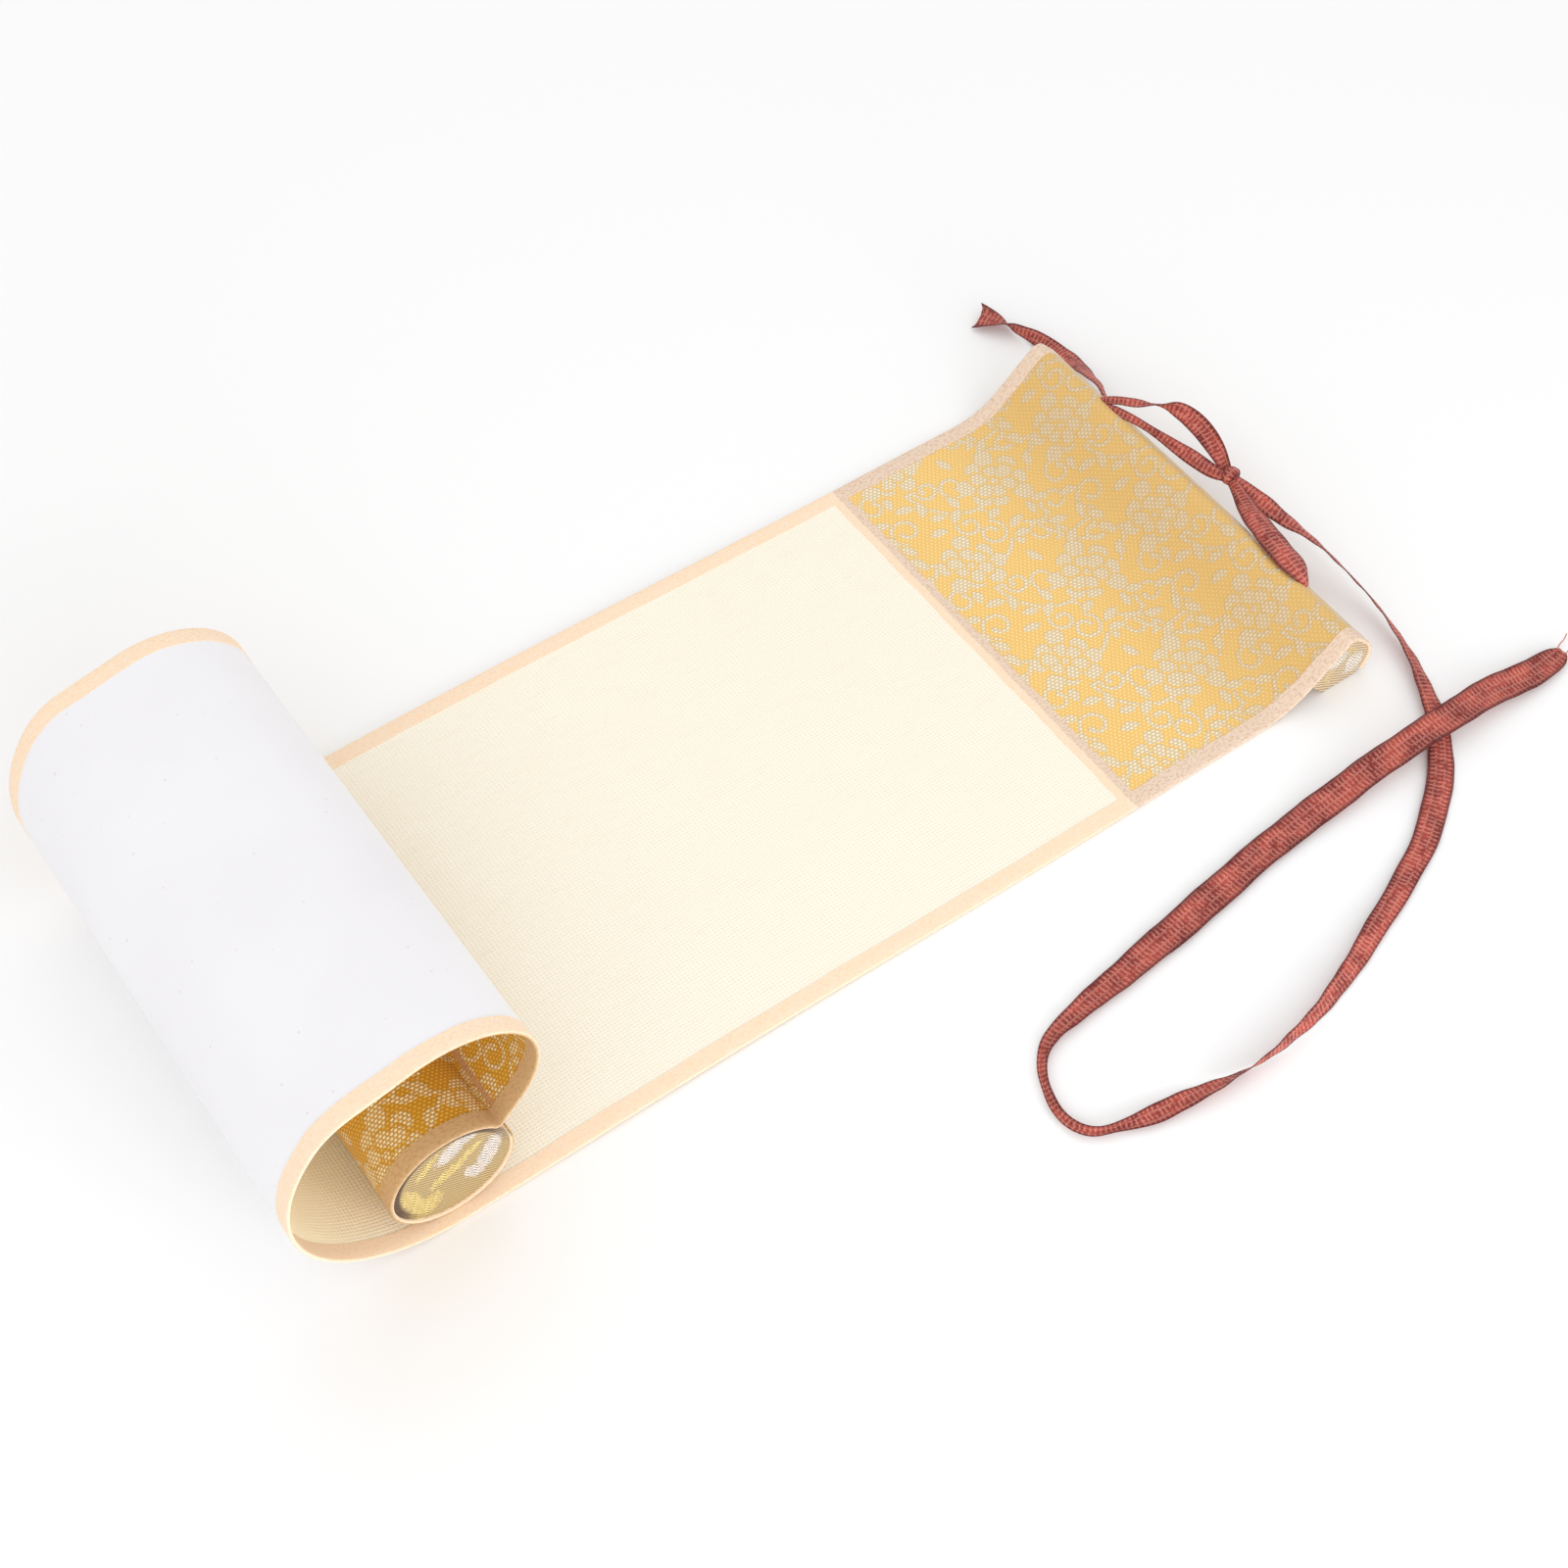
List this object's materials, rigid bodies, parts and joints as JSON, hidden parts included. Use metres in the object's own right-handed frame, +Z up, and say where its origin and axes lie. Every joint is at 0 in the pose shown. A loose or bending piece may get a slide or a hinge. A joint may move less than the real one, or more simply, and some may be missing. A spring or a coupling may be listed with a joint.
{
  "type": "hanging scroll",
  "caption": "Small blank hanging scroll, part unrolled: cream picture field, gold brocade end panels, white backing paper, rolled end on a round roller, half-round stave and tie ribbon.",
  "frame": {"origin": "middle of the scroll's footprint on the table, ribbon left out", "axes": "+X along the unrolled sheet from the roller to the stave, +Y from the near edge to the far edge, +Z up"},
  "size_m": [0.3022, 0.2025, 0.0615],
  "materials": {
    "backing_paper": "smooth matt white mounting paper",
    "picture_cloth": "cream silk, fine dotted weave",
    "gold_brocade": "gold satin brocade with pale woven flowers and vines",
    "edge_tape": "thin peach silk tape",
    "end_brocade": "greenish gold brocade with silver motifs",
    "wood": "plain softwood",
    "ribbon": "dusty red woven satin ribbon"
  },
  "bodies": {
    "root": {"backing_paper": "backing_paper", "picture_field": "picture_cloth", "top_brocade_panel": "gold_brocade", "bottom_brocade_panel": "gold_brocade", "near_edge_tape": "edge_tape", "far_edge_tape": "edge_tape", "top_joint_strip": "edge_tape", "bottom_joint_strip": "edge_tape", "stave_wood": "wood", "roller_wood": "wood", "stave_near_cover": "end_brocade", "stave_far_cover": "end_brocade", "roller_near_cover": "end_brocade", "roller_far_cover": "end_brocade", "ribbon_outer_strand": "ribbon", "ribbon_inner_strand": "ribbon", "ribbon_right_strand": "ribbon", "ribbon_knot": "ribbon", "ribbon_tie_tail": "ribbon", "ribbon_short_tail": "ribbon"}
  },
  "joints": []
}
